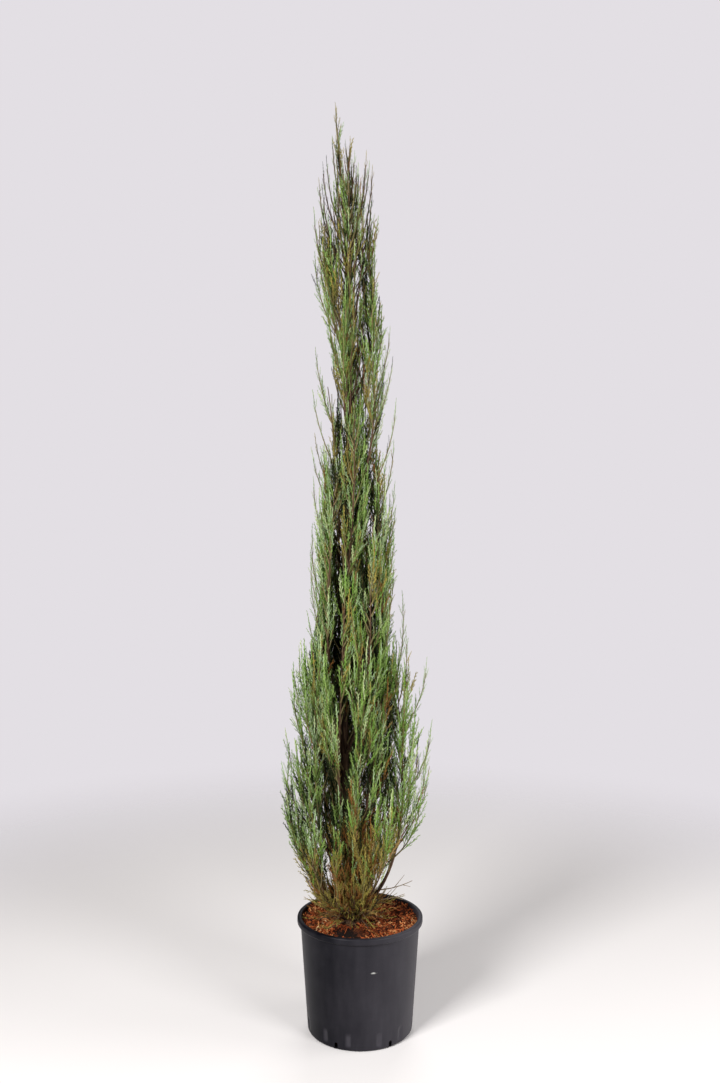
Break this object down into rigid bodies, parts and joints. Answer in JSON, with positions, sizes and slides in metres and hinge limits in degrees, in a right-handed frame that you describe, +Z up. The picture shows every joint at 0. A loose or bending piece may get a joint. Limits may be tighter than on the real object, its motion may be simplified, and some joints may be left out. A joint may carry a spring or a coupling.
{
  "type": "potted columnar juniper",
  "caption": "Slim upright columnar juniper with blue-green feathery foliage, bushy at its foot and tapering to one leading shoot, in a black plastic nursery pot.",
  "frame": {"origin": "centre of the pot's flat underside, on the floor", "axes": "+Z up along the trunk, +X to the right in the front view, +Y away from the front"},
  "size_m": [0.3517, 0.34, 2.2448],
  "materials": {
    "pot_plastic": "charcoal-black moulded plastic with a soft sheen",
    "substrate": "moist reddish-brown bark chips",
    "bark": "thin fibrous brown bark",
    "foliage": "matt blue-green scale leaves",
    "foot_foliage": "matt olive-brown young shoots"
  },
  "bodies": {
    "root": {"pot": "pot_plastic", "potting_bark": "substrate", "trunk": "bark", "bough_01": "bark", "bough_02": "bark", "bough_03": "bark", "bough_04": "bark", "bough_05": "bark", "bough_06": "bark", "bough_07": "bark", "bough_08": "bark", "bough_09": "bark", "bough_10": "bark", "bough_11": "bark", "bough_12": "bark", "bough_13": "bark", "bough_14": "bark", "bough_15": "bark", "bough_16": "bark", "bough_17": "bark", "bough_18": "bark", "bough_19": "bark", "bough_20": "bark", "bough_21": "bark", "bough_22": "bark", "bough_23": "bark", "bough_24": "bark", "bough_25": "bark", "foliage_01": "foliage", "foliage_02": "foliage", "foliage_03": "foliage", "foliage_04": "foliage", "foliage_05": "foliage", "foliage_06": "foliage", "foliage_07": "foliage", "foliage_08": "foliage", "foliage_09": "foliage", "foliage_10": "foliage", "foliage_11": "foliage", "foliage_12": "foliage", "foliage_13": "foliage", "foliage_14": "foliage", "foliage_15": "foliage", "foliage_16": "foliage", "foliage_17": "foliage", "foliage_18": "foliage", "foliage_19": "foliage", "foliage_20": "foliage", "foliage_21": "foliage", "foliage_22": "foliage", "foliage_23": "foliage", "foliage_24": "foliage", "foliage_25": "foliage", "foliage_foot_1": "foot_foliage", "foliage_foot_2": "foot_foliage", "foliage_foot_3": "foot_foliage", "foliage_foot_4": "foot_foliage", "foliage_leader": "foliage"}
  },
  "joints": []
}
